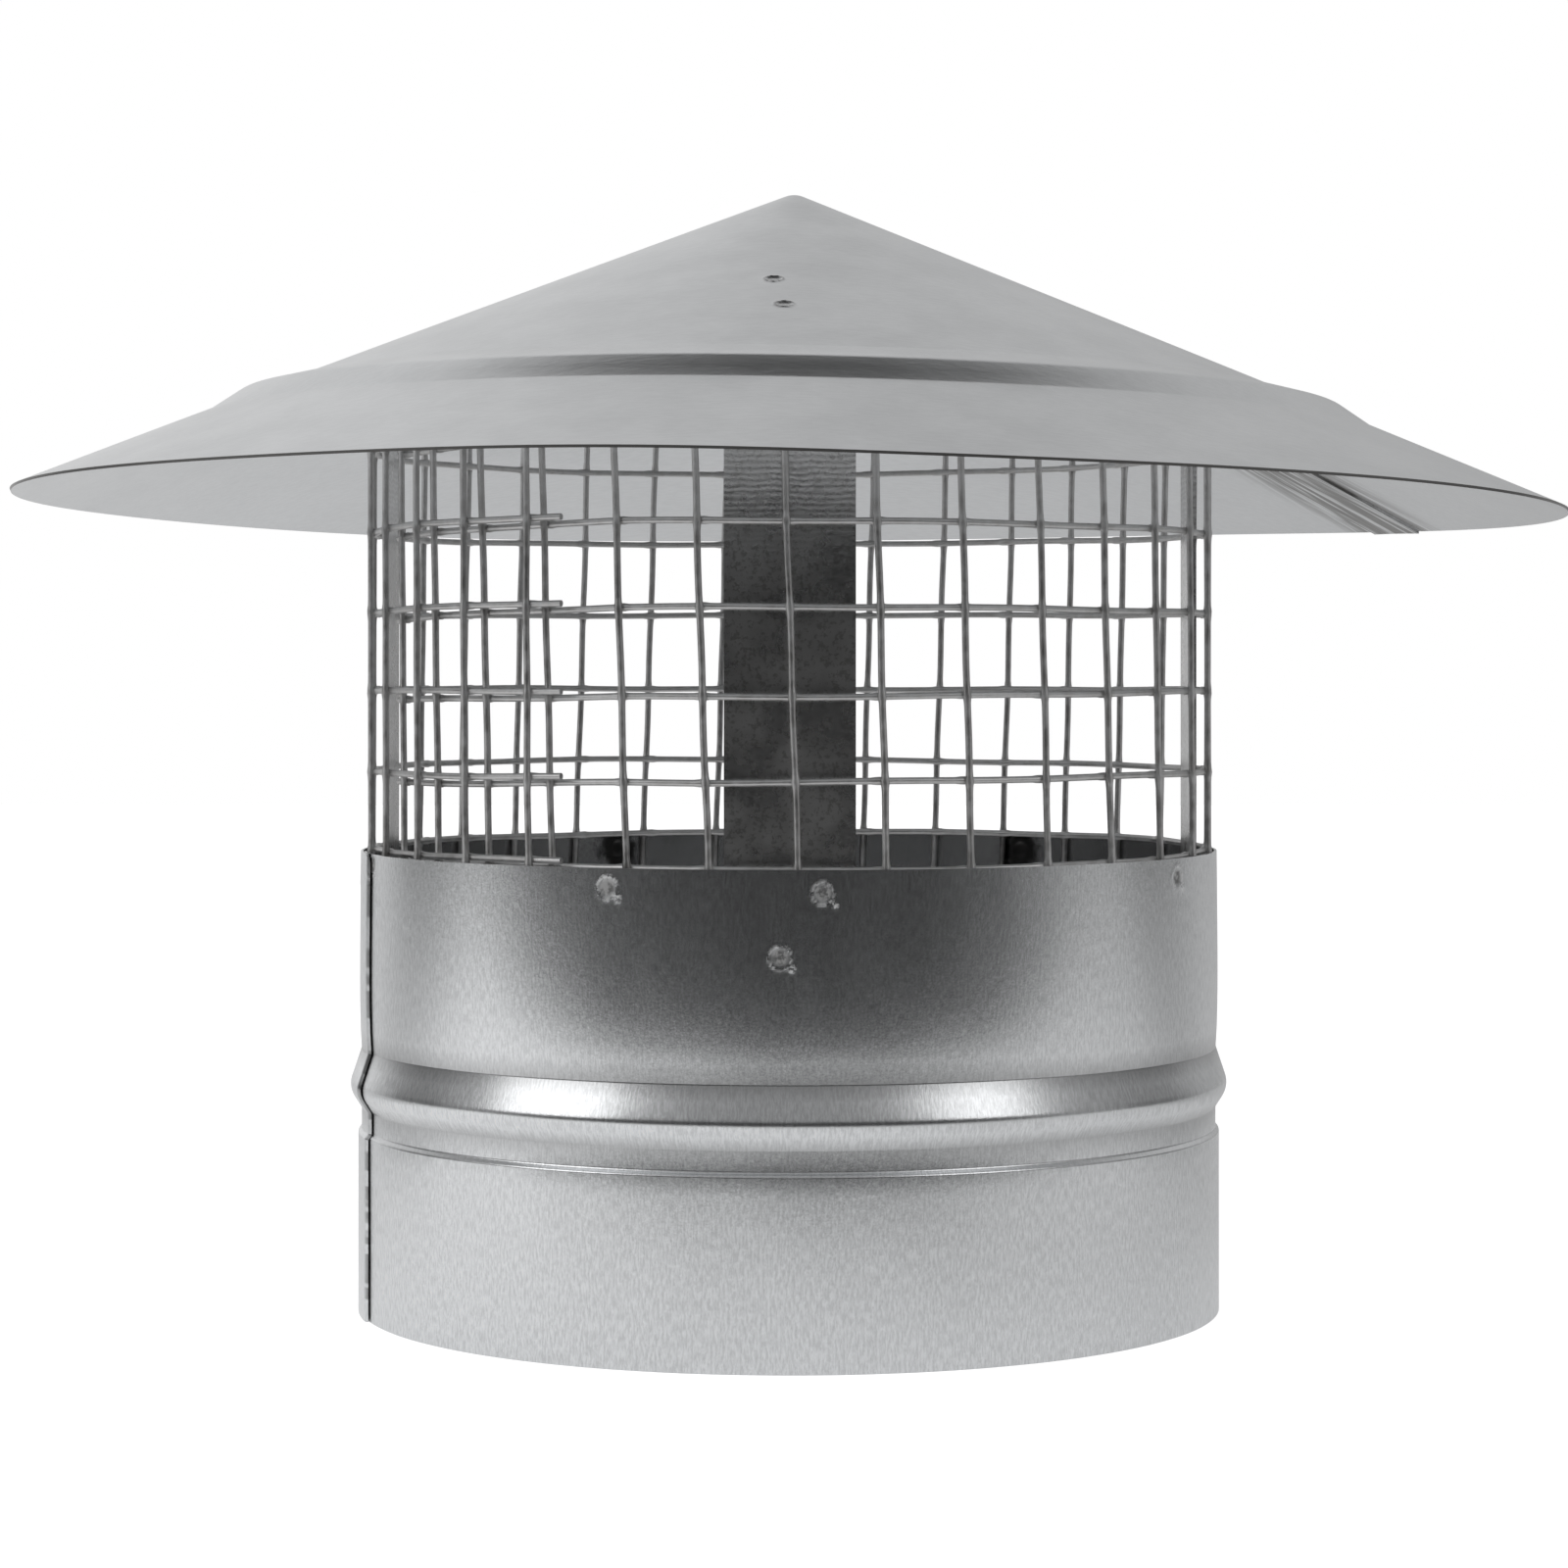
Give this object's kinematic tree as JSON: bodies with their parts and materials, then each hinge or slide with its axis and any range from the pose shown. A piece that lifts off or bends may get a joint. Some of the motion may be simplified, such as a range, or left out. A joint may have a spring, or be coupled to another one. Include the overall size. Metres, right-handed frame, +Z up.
{
  "type": "chimney cap",
  "caption": "Galvanised chimney cap: a conical rain hood with a raised ring, on straps over a beaded flue collar, with a welded wire bird guard between them.",
  "frame": {"origin": "centre of the collar's lower rim, on the flue axis", "axes": "+Z up along the flue axis, -Y towards the front, +X to the right of the front"},
  "size_m": [0.36, 0.36, 0.2597],
  "materials": {
    "hood_sheet": "galvanised, matt zinc",
    "collar_sheet": "galvanised, fine rolled streaks",
    "mesh_wire": "galvanised wire",
    "strap_steel": "galvanised strip"
  },
  "bodies": {
    "root": {"hood": "hood_sheet", "collar": "collar_sheet", "bird_mesh": "mesh_wire", "strap_front": "strap_steel", "strap_right": "strap_steel", "strap_back": "strap_steel", "strap_left": "strap_steel"}
  },
  "joints": []
}
